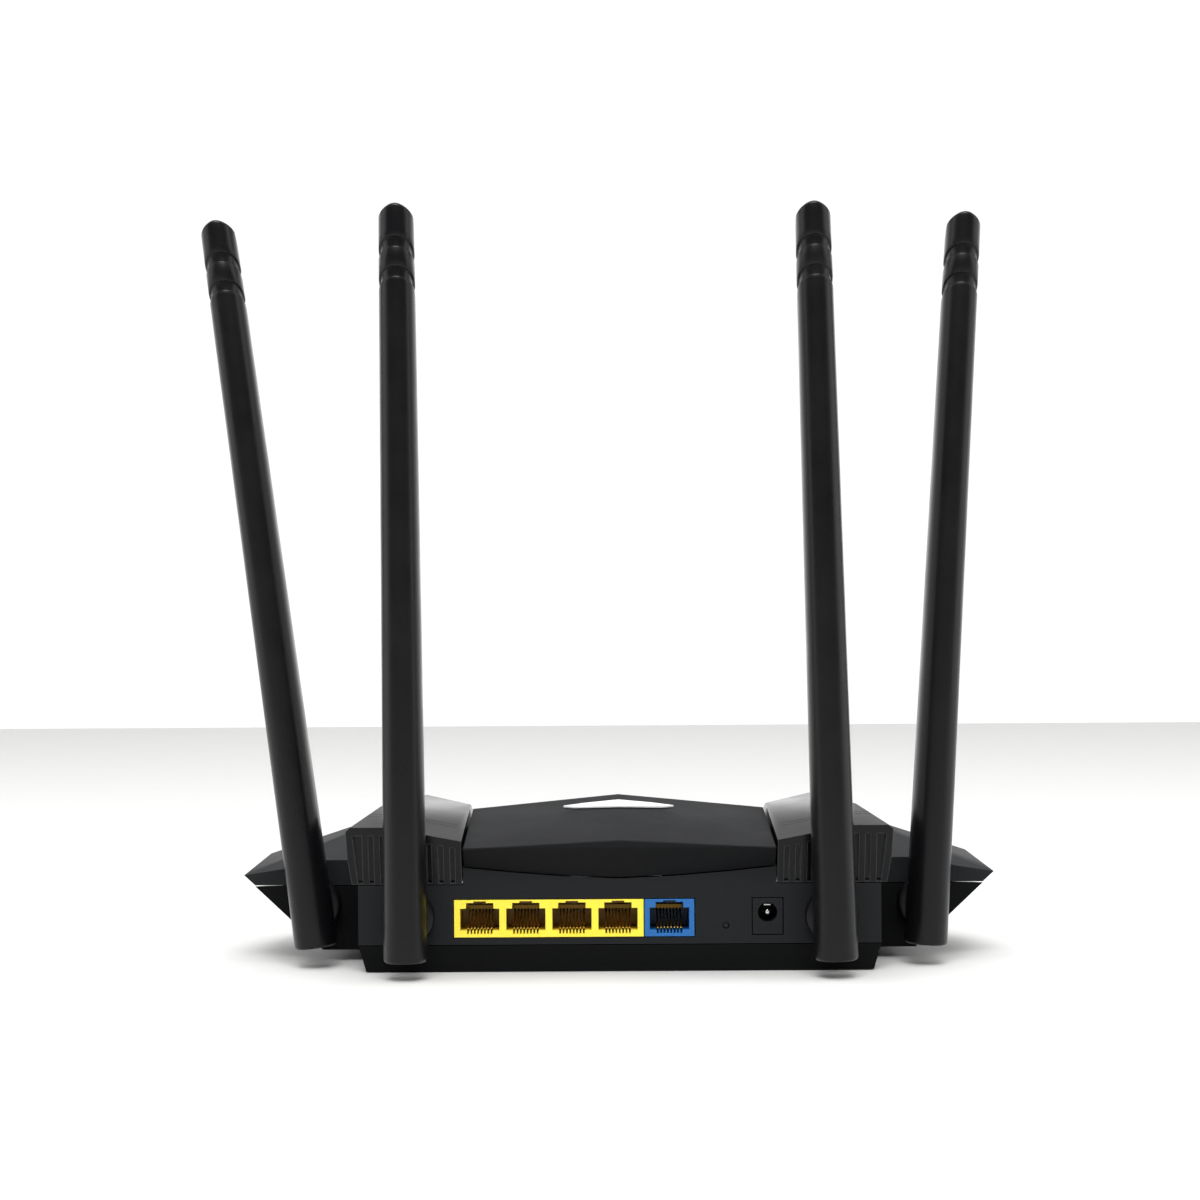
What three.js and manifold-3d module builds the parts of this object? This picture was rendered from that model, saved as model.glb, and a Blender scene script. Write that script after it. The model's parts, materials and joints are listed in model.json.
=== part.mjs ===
// Wireless router with four folding antennas, in millimetres.
// +Z is up and +X is to the right seen from the port side. The ports face -Y.
// The origin lies on the table plane, under the middle of the bottom cover.

import * as THREE from "three";
import { ConvexGeometry } from "three/addons/geometries/ConvexGeometry.js";
import { mergeVertices } from "three/addons/utils/BufferGeometryUtils.js";
import Module from "manifold-3d";

const wasm = await Module();
wasm.setup();

// ---- driving dimensions ----

const clearance = 0.3; // air between neighbouring pieces
const wall = 2.2; // moulded wall of covers
const skin = 2.0; // wall of the deck panel and shoulder covers

// housing, rear block
const rearY = -70; // rear panel plane
const panelWidth = 158.5; // rear panel, side to side
const bottomWidth = 154; // bottom cover at its underside
const caseFloorZ = 0.3; // underside of the bottom cover
const rearSeamZ = 8.3; // joint of bottom cover and rear panel
const panelTopZ = 36; // rear panel before the deck cuts it

// housing, wings and nose
const wingSetback = 28; // wing rear wall in front of the rear panel
const wingSpan = 235.4; // tip to tip
const wingTipZ = 27; // sharp edge of the wing tip
const wingTipRun = 27; // length of the tip edge, back to front
const wingKeelWidth = 185.8; // flat under the wings
const wingKeelZ = 3.5; // underside of the wings
const seamDrop = 0.1; // fall of the wing seam per mm towards the nose
const seamStep = 3.5; // wing edge above the seam
const bodyDepth = 144; // rear panel to nose
const noseWidth = 52; // flat of the nose
const crestZ = 47.5; // wing top beside the shoulder crest
const crestSetback = 60; // crest in front of the rear panel
const noseTopZ = 21.5; // upper edge of the nose face

// deck panel
const deckWidth = 94.6;
const deckLipReach = 6; // rear lip beyond the rear panel
const deckLipZ = 40.5; // lip at the centre line
const deckLipSideZ = 38.1; // lip at its ends
const deckRidgeZ = 50.2; // ridge at the centre line
const deckRidgeSideZ = 45.7; // ridge at its ends
const deckRidgeSetback = 50; // ridge in front of the rear panel
const deckRidgeTaper = 0.6; // each side drawn in at the ridge
const lensZ = 28.6; // lowest point of the sloping face under the lip
const lensSideZ = 32.1; // same at its ends
const badgeWidth = 35;
const badgeSetback = 10.4; // front edge behind the ridge, at the centre line
const badgeSweep = 3; // fall of the front edge towards its ends
const badgeDepth = 7.8; // at the centre line
const badgeEndCut = 3.5; // slant of the ends
const badgeEndDepth = 3;
const badgeThickness = 0.6;

// shoulder covers
const shoulderReach = 4; // rear face beyond the rear panel
const shoulderWidth = 165.4; // outer side to outer side
const shoulderTopZ = 44.5; // rear edge of the top
const shoulderInnerZ = 40.2; // inner rear corner
const shoulderFlat = 12; // level stretch of the rear edge, from the outer side
const shoulderFootZ = 26.8; // lowest edge at the rear
const deckSeam = 0.5; // gap from the deck to either shoulder cover
const grilleSlotWidth = 1.5;
const grilleSlotPitch = 3.5;
const grilleSlotCount = 9;
const grilleSlotDepth = 1.3;
const grilleBorder = 2.6; // plain band above the slots
const grilleOuterX = 78.5; // centre of the outermost slot
const creaseSetback = 15.2; // first of two creases across the top, in front of the rear panel
const creaseGap = 3.4; // between the two creases
const creaseWidth = 0.5;
const creaseDepth = 0.4;
const creaseInset = 2.2; // inner ends of the creases from the cover's inner side
const crestRise = 1.6; // swell of the shoulder top at the wing wall

// sockets
const portPitch = 13.97; // modular jack spacing
const portCount = 4;
const portOpening = 11.9; // width of a jack's mouth
const portMouthZ = 12.7; // lower edge of the mouth
const portMouthHeight = 6.7;
const latchWidth = 8.3;
const latchHeight = 1.7;
const latchReliefWidth = 3.8;
const latchReliefHeight = 0.5;
const combSlotWidth = 0.6;
const combSlotDepth = 1.1;
const portDepth = 14;
const jackFootZ = 10.7;
const jackHeight = 11.3;
const jackDepth = 18;
const lanMargin = 0.76; // block beyond its outermost port cells
const lanLeftX = -50.2; // outer side of the four-port block
const wanWidth = 15.1;
const contactCount = 8;
const contactPitch = 1.02;
const contactWidth = 0.46;
const contactSetback = 1.6; // tips behind the jack face
const powerX = 44.8;
const powerZ = 17.8;
const powerWidth = 9.1;
const powerHeight = 10.9;
const powerFootZ = 11.2;
const powerBore = 5.9; // diameter
const powerPin = 2.1; // diameter
const powerDepth = 11;
const resetX = 32.2;
const resetZ = 13.9;
const resetHole = 2.2; // diameter
const resetTravel = 0.35;
const plungerRadius = 0.85;

// main board and what stands on it
const boardTopZ = 10.4;
const boardThickness = 1.6;
const boardWidth = 132;
const boardDepth = 96;

// feet and case screws
const footRadius = 6;
const footRecess = 0.6;
const footRearY = -50;
const footFrontY = 18;
const footX = 60;
const screwHeadRadius = 2.7;
const screwHeadHeight = 1.5;
const screwShankRadius = 1.2;
const screwLength = 12;
const screwPadHeight = 4.2;
const bossRadius = 3.8;
const rearScrewX = 56;
const rearScrewSetback = 7.5;
const frontScrewX = 84;
const frontScrewY = 2;

// status light in the nose
const lightWidth = 40;
const lightHeight = 2.4;
const lightZ = 18.2;

// antennas
const bladeLength = 225;
const bladeWidth = 13.1;
const bladeDepth = 13.6;
const bladeTopShare = 0.8; // section at the top over section at the bottom
const bladeFootGap = 5.5; // blade end above the table
const bladeFootRoll = 1.2; // rounding of the blade's lower end
const tipFrontFall = 2.2; // ridge of the slanted tip, from its front to the middle
const tipRearFall = 9.9; // same, from its front to the back
const tipSideFall = 0.33; // fall of the tip to either side, per mm
const ringDepths = [10, 18.9]; // upper edge of each ring groove below the tip
const ringHeight = 2.9;
const ringDepth = 0.65;
const ringTilt = 0.58; // radians
const bladeBore = 6.4; // side of the square hollow
const standOff = 15.5; // blade centre to the wall that carries it
const hingePinZ = 9.5;
const hingePinRadius = 1.5;
const hingeEyeRadius = 3.7;
const tongueWidth = 5;
const pinCover = 1; // blade wall over the ends of the pin's hole
const swivelZ = 17;
const barrelRadius = 5;
const flangeRadius = 8;
const flangeThickness = 4.5;
const neckRadius = 3.6;
const neckLength = 6.4; // past the wall's outer face
const coreBore = 1.1; // radius of the cable way
const clipThickness = 1.2;
const grooveDepth = 0.9; // of the neck's groove for the clip
const clipRing = 1.8; // width of the clip past the groove's floor
const innerAntennaX = 64;
const outerAntennaX = 95;
const outerLift = 1; // outer swivels above the inner ones
const antennas = [
  { name: "outer_left", side: -1, x: outerAntennaX, setback: wingSetback, lift: outerLift, lean: 7.5 },
  { name: "inner_left", side: -1, x: innerAntennaX, setback: 0, lift: 0, lean: 0.4 },
  { name: "inner_right", side: 1, x: innerAntennaX, setback: 0, lift: 0, lean: -1.5 },
  { name: "outer_right", side: 1, x: outerAntennaX, setback: wingSetback, lift: outerLift, lean: 3.3 },
];

// ---- materials ----

const finish = (color, roughness, metalness = 0) =>
  new THREE.MeshStandardMaterial({ color, roughness, metalness });
const satinBlack = finish(0x28292d, 0.5);
const lowerBlack = finish(0x191b1c, 0.55);
const deckBlack = finish(0x222326, 0.4);
const glossBlack = finish(0x0c0c0e, 0.12);
const antennaBlack = finish(0x17181a, 0.42);
const jackYellow = finish(0xf5df3a, 0.35);
const jackBlue = finish(0x1f74b8, 0.35);
const gold = finish(0xc9a24a, 0.3, 1);
const steel = finish(0xb8babd, 0.3, 1);
const badgeSilver = finish(0xe8e8ea, 0.3, 0.6);
const clearLens = finish(0xdfe6ea, 0.2);
const rubber = finish(0x1d1d1e, 0.8);
const boardGreen = finish(0x1f5a3c, 0.5);
const aluminium = finish(0xb4b6b8, 0.45, 1);
const chipBlack = finish(0x1a1a1b, 0.6);
const copper = finish(0xb87345, 0.35, 1);
const cableGrey = finish(0x6f7276, 0.5);

// ---- solids ----

// A cube inset leaves more than its half-side on slanted faces, so it is this share of the wall.
const insetShare = 0.75;

function toSolid(geometry) {
  const bare = new THREE.BufferGeometry();
  bare.setAttribute("position", geometry.getAttribute("position"));
  if (geometry.index) bare.setIndex(geometry.index);
  const merged = mergeVertices(bare, 1e-4);
  return new wasm.Manifold(
    new wasm.Mesh({
      numProp: 3,
      vertProperties: new Float32Array(merged.attributes.position.array),
      triVerts: new Uint32Array(merged.index.array),
    }),
  );
}

function toGeometry(solid) {
  const mesh = solid.getMesh();
  const geometry = new THREE.BufferGeometry();
  const places = new Float32Array(mesh.numVert * 3);
  for (let i = 0; i < mesh.numVert; i++) {
    for (let k = 0; k < 3; k++) places[3 * i + k] = mesh.vertProperties[i * mesh.numProp + k];
  }
  geometry.setAttribute("position", new THREE.BufferAttribute(places, 3));
  geometry.setIndex(new THREE.BufferAttribute(new Uint32Array(mesh.triVerts), 1));
  geometry.computeVertexNormals();
  return geometry;
}

const join = (...solids) => solids.reduce((whole, next) => whole.add(next));
const cut = (base, ...tools) => tools.reduce((left, tool) => left.subtract(tool), base);
const common = (...solids) => solids.reduce((whole, next) => whole.intersect(next));

const mirrored = (points) => [...points, ...points.map(([x, y, z]) => [-x, y, z])];
const flipped = (points, side) => points.map(([x, y, z]) => [side * x, y, z]);
const hull = (points) =>
  toSolid(new ConvexGeometry(points.map((p) => new THREE.Vector3(...p))));

const corners = [-1, 1].flatMap((a) => [-1, 1].flatMap((b) => [-1, 1].map((c) => [a, b, c])));

// A hull swollen by a cube of half-side g: at least g of air all round.
const grown = (points, g) =>
  hull(points.flatMap(([x, y, z]) => corners.map(([a, b, c]) => [x + a * g, y + b * g, z + c * g])));

// A hull shrunk by the same cube: at least g of wall all round.
const shrunk = (points, g) =>
  common(...corners.map(([a, b, c]) => hull(points).translate([a * g, b * g, c * g])));

// The space that a convex solid sweeps as it moves straight up, or down where rise is negative.
function swept(solid, rise) {
  const mesh = solid.getMesh();
  const points = [];
  for (let i = 0; i < mesh.numVert; i++) {
    const [x, y, z] = mesh.vertProperties.slice(i * mesh.numProp, i * mesh.numProp + 3);
    points.push([x, y, z], [x, y, z + rise]);
  }
  return hull(points);
}

function box(x0, x1, y0, y1, z0, z1) {
  const block = new THREE.BoxGeometry(x1 - x0, y1 - y0, z1 - z0);
  return toSolid(block.translate((x0 + x1) / 2, (y0 + y1) / 2, (z0 + z1) / 2));
}

function rodX(radius, x0, x1, y, z, sides = 16) {
  const rod = new THREE.CylinderGeometry(radius, radius, x1 - x0, sides);
  return toSolid(rod.rotateZ(Math.PI / 2).translate((x0 + x1) / 2, y, z));
}

function rodY(radius, x, y0, y1, z, sides = 20) {
  const rod = new THREE.CylinderGeometry(radius, radius, y1 - y0, sides);
  return toSolid(rod.translate(x, (y0 + y1) / 2, z));
}

function rodZ(radius, x, y, z0, z1, sides = 20) {
  const rod = new THREE.CylinderGeometry(radius, radius, z1 - z0, sides);
  return toSolid(rod.rotateX(Math.PI / 2).translate(x, y, (z0 + z1) / 2));
}

// An outline in the XZ plane, given as [x, z], pushed along Y.
function prismY(outline, y0, y1) {
  const shape = new THREE.Shape(outline.map(([x, z]) => new THREE.Vector2(x, z)));
  const block = new THREE.ExtrudeGeometry(shape, { depth: y1 - y0, bevelEnabled: false });
  return toSolid(block.rotateX(Math.PI / 2).translate(0, y1, 0));
}

const parts = new THREE.Group();

function place(name, solid, material, parent = parts) {
  const mesh = new THREE.Mesh(toGeometry(solid), material);
  mesh.name = name;
  parent.add(mesh);
  return mesh;
}

// ---- shared places ----

const halfPanel = panelWidth / 2;
const halfBottom = bottomWidth / 2;
const halfSpan = wingSpan / 2;
const halfKeel = wingKeelWidth / 2;
const halfDeck = deckWidth / 2;
const wingY = rearY + wingSetback;
const noseY = rearY + bodyDepth;
const crestY = rearY + crestSetback;
const ridgeY = rearY + deckRidgeSetback;
const innerWallY = rearY + wall;
const wingSeamZ = wingTipZ - seamStep;
const seamZ = (y) => wingSeamZ - seamDrop * (y - wingY);
const halfNose = noseWidth / 2;
const jackFaceY = rearY - 0.2;

// ---- housing outlines ----

// Plan of the wing and nose edge, right half: [x, y]. The seam below it runs a little inside.
const edgePlan = [
  [halfSpan, wingY + 1],
  [halfSpan, wingY + wingTipRun],
  [halfSpan - 6, wingY + wingTipRun + 20],
  [halfNose + 46, noseY - 17],
  [halfNose, noseY],
];
const seamInset = 3.6;
const noseSeamInset = 1.5;
const seamPlan = [
  [halfSpan - seamInset, wingY],
  [halfSpan - seamInset, wingY + wingTipRun],
  [halfSpan - seamInset - 6, wingY + wingTipRun + 20],
  [halfNose + 46 - seamInset, noseY - 17 - noseSeamInset],
  [halfNose - noseSeamInset, noseY - noseSeamInset],
];
const keelPlan = [
  [halfKeel, wingY],
  [halfKeel - 2, wingY + wingTipRun + 24],
  [halfNose + 36, noseY - 24],
  [halfNose - 4, noseY - 8],
];

const wingLower = (lift) =>
  mirrored([
    ...keelPlan.map(([x, y]) => [x, y, wingKeelZ]),
    ...seamPlan.map(([x, y]) => [x, y, seamZ(y) + lift]),
  ]);
const wingUpper = (drop) =>
  mirrored([
    ...seamPlan.map(([x, y]) => [x, y, seamZ(y) + drop]),
    ...edgePlan.map(([x, y]) => [x, y, seamZ(y) + seamStep]),
    [halfPanel + 12.8, wingY, wingTipZ + 4.6],
    [halfPanel + 26.6, wingY, wingTipZ + 1.8],
    [halfSpan - 5, wingY + 30, wingTipZ + 4],
    [halfSpan - 55.5, crestY, crestZ],
    [halfNose + 2, noseY - 6, noseTopZ],
    [halfNose, noseY - 2.6, noseTopZ],
  ]);
const trayHalf = [
  [halfBottom, rearY + 0.8, caseFloorZ],
  [halfBottom, wingY + 46, caseFloorZ],
  [halfBottom - 26, noseY - 30, caseFloorZ],
  [halfBottom - 56, noseY - 20, caseFloorZ],
  [halfPanel, rearY, rearSeamZ],
  [halfPanel, wingY + 48, rearSeamZ],
  [halfPanel - 26, noseY - 27, rearSeamZ],
  [halfPanel - 56, noseY - 16.5, rearSeamZ],
];
const tray = mirrored(trayHalf);

// ---- deck and shoulders ----

const lensStations = [0, 0.35, 0.7, 1];
const lensFall = (share) => lensZ + (lensSideZ - lensZ) * share ** 1.5;
const deckPoints = mirrored([
  ...lensStations.map((s) => [s * halfDeck, rearY, lensFall(s)]),
  [0, rearY - deckLipReach, deckLipZ],
  [halfDeck, rearY - deckLipReach, deckLipSideZ],
  [halfDeck - deckRidgeTaper, ridgeY, deckRidgeSideZ],
  [0, ridgeY, deckRidgeZ],
  [halfDeck - 2.6, crestY + 36, 35.4],
  [0, crestY + 36, 37.2],
  [halfDeck - 16, noseY - 12, 24.2],
  [0, noseY - 10.5, 25],
  [halfDeck - deckRidgeTaper, ridgeY, lensSideZ],
  [halfDeck - 3.5, crestY + 36, 29],
  [halfDeck - 16, noseY - 12, 21.2],
]);

const shoulderOuter = shoulderWidth / 2;
const shoulderInner = halfDeck + deckSeam;
const shoulderHalf = [
  [shoulderOuter, rearY - shoulderReach, shoulderTopZ - 1.3],
  [shoulderOuter - 1.4, rearY - shoulderReach, shoulderTopZ],
  [shoulderOuter - shoulderFlat, rearY - shoulderReach, shoulderTopZ],
  [shoulderInner, rearY - shoulderReach, shoulderInnerZ],
  [shoulderOuter - 8.1, wingY + 2, shoulderTopZ + 2.2 + crestRise],
  [shoulderOuter - 20.5, crestY, shoulderTopZ + 3.5 + crestRise],
  [shoulderInner - 0.4, ridgeY, shoulderTopZ + 1.8 + crestRise / 2],
  [shoulderInner - 1.2, crestY + 38, 35.6],
  [shoulderOuter - 0.4, rearY - shoulderReach * 0.7, shoulderTopZ - 9],
  [shoulderOuter - 1.6, rearY, shoulderFootZ],
  [shoulderOuter - 3.2, wingY - 4, shoulderFootZ + 4],
  [shoulderOuter - 8.1, wingY + 2, shoulderFootZ + 5],
  [shoulderInner, rearY - shoulderReach * 0.7, shoulderTopZ - 9],
  [shoulderInner, rearY, shoulderFootZ],
  [shoulderInner, ridgeY, shoulderFootZ + 5],
  [shoulderInner - 1, crestY + 38, 30],
  [shoulderOuter - 20.5, crestY, shoulderFootZ + 11],
];

function deckPanel() {
  const room = box(-halfDeck + skin, halfDeck - skin, rearY + skin, noseY, 0, 60);
  const hollow = common(swept(shrunk(deckPoints, skin * insetShare), -12), room);
  return cut(hull(deckPoints), hollow);
}

// Vertical slots in the sloping rear face of a shoulder cover. The outermost widens upwards.
function grille(side) {
  const kinkX = shoulderOuter - shoulderFlat;
  const slope = (shoulderTopZ - shoulderInnerZ) / (kinkX - shoulderInner);
  const edgeAt = (x) => Math.min(shoulderTopZ, shoulderTopZ - (kinkX - x) * slope);
  const faceRun = shoulderTopZ - shoulderFootZ;
  const slots = Array.from({ length: grilleSlotCount }, (_, i) => {
    const x = grilleOuterX - i * grilleSlotPitch;
    const top = edgeAt(x) - grilleBorder;
    const flare = i === 0 ? grilleSlotWidth * 0.9 : 0;
    const depthAt = (z) => rearY - (shoulderReach * (z - shoulderFootZ)) / faceRun + grilleSlotDepth;
    return hull([[top, flare], [shoulderFootZ + 0.4, 0]].flatMap(([z, extra]) =>
      [x - grilleSlotWidth / 2, x + grilleSlotWidth / 2 + extra].flatMap((slotX) => [
        [side * slotX, rearY - shoulderReach - 2, z],
        [side * slotX, depthAt(z), z],
      ])));
  });
  return join(...slots);
}

// Two shallow creases that run across the top, level with the rear edge.
function creases(side) {
  const solid = hull(flipped(shoulderHalf, side));
  const skinDeep = cut(solid, solid.translate([0, 0, -creaseDepth]));
  const ends = [side * (shoulderInner + creaseInset), side * (shoulderOuter - 1)].sort((a, b) => a - b);
  const bands = [0, creaseGap].map((step) => {
    const y = rearY + creaseSetback - creaseGap / 2 + step;
    return box(ends[0], ends[1], y - creaseWidth / 2, y + creaseWidth / 2, shoulderInnerZ, shoulderTopZ + 20);
  });
  return common(join(...bands), skinDeep);
}

function shoulderCover(side) {
  const points = flipped(shoulderHalf, side);
  const far = side * (shoulderOuter - 1.6 - skin);
  const near = side * (shoulderInner - 1);
  const room = box(Math.min(near, far), Math.max(near, far), rearY + skin, noseY, 0, 60);
  const hollow = common(swept(shrunk(points, skin * insetShare), -16), room);
  return cut(hull(points), hollow, grille(side), creases(side));
}

// ---- covers ----

const rearRoom = box(-halfPanel + wall, halfPanel - wall, innerWallY, wingY + 12,
  rearSeamZ - 0.6, panelTopZ + 4);
const screws = [-1, 1].flatMap((side) => [
  { x: side * rearScrewX, y: innerWallY + rearScrewSetback - wall, floor: caseFloorZ, tall: 22 },
  { x: side * frontScrewX, y: frontScrewY, floor: wingKeelZ, tall: 44 },
]);

const lanRightX = lanLeftX + portCount * portPitch + 2 * lanMargin;
const wanLeftX = lanRightX + clearance;
const wanRightX = wanLeftX + wanWidth;
const lanCentre = (lanLeftX + lanRightX) / 2;
const lanPortX = Array.from({ length: portCount },
  (_, i) => lanCentre + (i - (portCount - 1) / 2) * portPitch);
const wanPortX = (wanLeftX + wanRightX) / 2;
const contactOffsets = Array.from({ length: contactCount },
  (_, i) => (i - (contactCount - 1) / 2) * contactPitch);

function antennaMount(antenna) {
  return { x: antenna.side * antenna.x, y: rearY + antenna.setback, z: swivelZ + antenna.lift };
}

function swivelHoles() {
  return join(...antennas.map((antenna) => {
    const { x, y, z } = antennaMount(antenna);
    return rodY(neckRadius + clearance, x, y - 1, y + wall + 2, z);
  }));
}

function lightBar(gap) {
  return box(-lightWidth / 2 - gap, lightWidth / 2 + gap, noseY - 8 - gap, noseY + 2,
    lightZ - lightHeight / 2 - gap, lightZ + lightHeight / 2 + gap);
}

// The slot between the deck's side and the shoulder's inner side, open from their undersides up.
function seamSlot(side) {
  const foot = [
    [halfDeck - 1, wingY - 1, lensSideZ],
    [shoulderInner + 1, wingY - 1, lensSideZ],
    [halfDeck - 4, crestY + 37, 30],
    [shoulderInner, crestY + 37, 30],
  ];
  return hull(flipped([...foot, ...foot.map(([x, y, z]) => [x, y, z + 25])], side));
}

function topCover() {
  const rearBlock = box(-halfPanel, halfPanel, rearY, wingY + 2, rearSeamZ + clearance / 2, panelTopZ);
  const wings = hull(wingUpper(clearance));
  const hollow = swept(shrunk(wingUpper(clearance), wall * insetShare), -8);
  const shell = cut(join(rearBlock, wings), rearRoom, hollow);
  const bosses = screws.map(({ x, y, floor, tall }) =>
    common(rodZ(bossRadius, x, y, floor + screwPadHeight + clearance, tall, 16), hull([
      ...wingUpper(-24),
      ...mirrored([[halfPanel, rearY, 0], [halfPanel, rearY, panelTopZ], [halfPanel, wingY, 0]]),
    ])));
  const ribs = screws
    .filter(({ floor }) => floor === caseFloorZ)
    .map(({ x, y }) => box(x - 1.2, x + 1.2, innerWallY - 0.5, y, rearSeamZ + 4, 22));
  const pilots = screws.map(({ x, y, floor }) =>
    rodZ(screwShankRadius + clearance, x, y, floor, floor + screwPadHeight + screwLength, 12));
  const sockets = [
    box(lanLeftX - clearance, wanRightX + clearance, rearY - 1, innerWallY + 1,
      jackFootZ - clearance, jackFootZ + jackHeight + clearance),
    box(powerX - powerWidth / 2 - clearance, powerX + powerWidth / 2 + clearance, rearY - 1,
      innerWallY + 1, powerFootZ - clearance, powerFootZ + powerHeight + clearance),
    rodY(resetHole / 2, resetX, rearY - 1, innerWallY + 1, resetZ, 16),
  ];
  return cut(
    join(shell, ...bosses, ...ribs),
    grown(wingLower(0), clearance),
    swept(grown(deckPoints, clearance), 20),
    swept(grown(shoulderHalf, clearance), 20),
    swept(grown(flipped(shoulderHalf, -1), clearance), 20),
    seamSlot(-1),
    seamSlot(1),
    swivelHoles(),
    lightBar(clearance),
    ...pilots,
    ...sockets,
  );
}

function feetAt(action) {
  return [-1, 1].flatMap((side) => [footRearY, footFrontY].map((y) => action(side * footX, y)));
}

function bottomCover() {
  const shell = cut(
    join(hull(tray), hull(wingLower(0))),
    swept(shrunk(tray, wall * insetShare), 6),
    rearRoom,
    swept(shrunk(wingLower(0), wall * insetShare), 6),
    box(-halfPanel - 1, halfPanel + 1, rearY - 1, wingY - clearance, rearSeamZ - clearance / 2, 40),
  );
  const pads = screws.map(({ x, y, floor }) =>
    rodZ(screwHeadRadius + 1.7, x, y, floor, floor + screwPadHeight, 16));
  const posts = [-1, 1].flatMap((side) => [-44, 14].map((y) =>
    rodZ(3, side * (boardWidth / 2 - 8), y, caseFloorZ + 0.5,
      boardTopZ - boardThickness - clearance, 12)));
  const pockets = feetAt((x, y) => rodZ(footRadius + clearance, x, y, 0, caseFloorZ + footRecess, 24));
  const recesses = screws.flatMap(({ x, y, floor }) => [
    rodZ(screwHeadRadius + clearance, x, y, floor - 1, floor + screwHeadHeight + 0.6, 16),
    rodZ(screwShankRadius + clearance, x, y, floor - 1, floor + screwPadHeight + 1, 12),
  ]);
  const vents = [];
  for (let i = -5; i <= 5; i++) vents.push(box(i * 7 - 1, i * 7 + 1, 22, 44, 0, caseFloorZ + 4));
  return cut(join(shell, ...pads, ...posts), ...pockets, ...recesses, ...vents, swivelHoles());
}

// ---- sockets and board ----

// Mouth of a jack: eight comb slots in its lower edge and a stepped latch notch in its upper one.
function portCavity(x) {
  const top = portMouthZ + portMouthHeight;
  const comb = contactOffsets.flatMap((offset) => [
    [x + offset - combSlotWidth / 2, portMouthZ],
    [x + offset - combSlotWidth / 2, portMouthZ - combSlotDepth],
    [x + offset + combSlotWidth / 2, portMouthZ - combSlotDepth],
    [x + offset + combSlotWidth / 2, portMouthZ],
  ]);
  const notch = [
    [portOpening / 2, portMouthZ],
    [portOpening / 2, top],
    [latchWidth / 2, top],
    [latchWidth / 2, top + latchHeight],
    [latchReliefWidth / 2, top + latchHeight],
    [latchReliefWidth / 2, top + latchHeight + latchReliefHeight],
  ];
  const right = notch.map(([half, z]) => [x + half, z]);
  const left = notch.reverse().map(([half, z]) => [x - half, z]);
  return prismY([...comb, ...right, ...left], jackFaceY - 1, jackFaceY + portDepth);
}

function jackHousing(x0, x1, portXs) {
  const block = box(x0, x1, jackFaceY, jackFaceY + jackDepth, jackFootZ, jackFootZ + jackHeight);
  return cut(block, ...portXs.map(portCavity));
}

// Eight sprung contacts on one carrier bar at the back, each sloping down to the mouth's comb.
function contactComb(x) {
  const roof = portMouthZ + portMouthHeight - clearance;
  const foot = portMouthZ + clearance;
  const backY = jackFaceY + portDepth - clearance;
  const frontY = jackFaceY + contactSetback;
  const half = contactOffsets[contactCount - 1] + contactWidth;
  const bar = box(x - half, x + half, backY - 1.4, backY, roof - 1.4, roof);
  const wires = contactOffsets.map((offset) =>
    hull([-contactWidth / 2, contactWidth / 2].flatMap((edge) => [
      [x + offset + edge, backY - 0.6, roof - 1.2],
      [x + offset + edge, backY - 0.6, roof - 0.8],
      [x + offset + edge, frontY, foot],
      [x + offset + edge, frontY, foot + 0.35],
    ])));
  return join(bar, ...wires);
}

function powerJackBody() {
  const half = powerWidth / 2;
  const block = box(powerX - half, powerX + half, jackFaceY, jackFaceY + powerDepth + 2.6,
    powerFootZ, powerFootZ + powerHeight);
  return cut(
    block,
    rodY(powerBore / 2, powerX, jackFaceY - 1, jackFaceY + powerDepth, powerZ, 24),
    rodY(powerPin / 2 + clearance, powerX, jackFaceY, jackFaceY + powerDepth + 4, powerZ, 12),
  );
}

function powerPinSolid() {
  const radius = powerPin / 2;
  const front = jackFaceY + 1.2;
  const nose = hull(Array.from({ length: 12 }, (_, i) => {
    const turn = (i * Math.PI) / 6;
    return [
      [powerX + 0.55 * radius * Math.cos(turn), front, powerZ + 0.55 * radius * Math.sin(turn)],
      [powerX + radius * Math.cos(turn), front + 0.7, powerZ + radius * Math.sin(turn)],
    ];
  }).flat());
  return join(nose, rodY(radius, powerX, front + 0.7, jackFaceY + powerDepth + 2.6, powerZ, 12));
}

function powerSpring() {
  const y0 = jackFaceY + 2.4;
  const top = powerZ + powerBore / 2 - clearance;
  return hull([
    [powerX - 1, y0, top - 0.75], [powerX + 1, y0, top - 0.75],
    [powerX - 1, y0, top - 0.3], [powerX + 1, y0, top - 0.3],
    [powerX - 1, y0 + 6, top - 0.5], [powerX + 1, y0 + 6, top - 0.5],
    [powerX - 1, y0 + 6, top - 0.25], [powerX + 1, y0 + 6, top - 0.25],
  ]);
}

const resetBodyY = rearY + 7.2;

function resetSwitchBody() {
  const body = box(resetX - 3, resetX + 3, resetBodyY, resetBodyY + 3.6,
    boardTopZ + clearance, boardTopZ + clearance + 6.4);
  return cut(body, rodY(plungerRadius + clearance, resetX, resetBodyY - 1, resetBodyY + 2.4, resetZ, 16));
}

function resetButton() {
  return rodY(plungerRadius, resetX, rearY + 1, resetBodyY + 2.4 - resetTravel - clearance, resetZ, 16);
}

function mainBoard() {
  const rear = innerWallY + clearance + 0.2;
  const plate = box(-boardWidth / 2, boardWidth / 2, rear, rear + boardDepth,
    boardTopZ - boardThickness, boardTopZ);
  const notches = screws
    .filter(({ floor }) => floor === caseFloorZ)
    .map(({ x, y }) => box(x - bossRadius - clearance, x + bossRadius + clearance,
      rear - 1, y + bossRadius + clearance, 0, 20));
  return cut(plate, ...notches);
}

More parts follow.
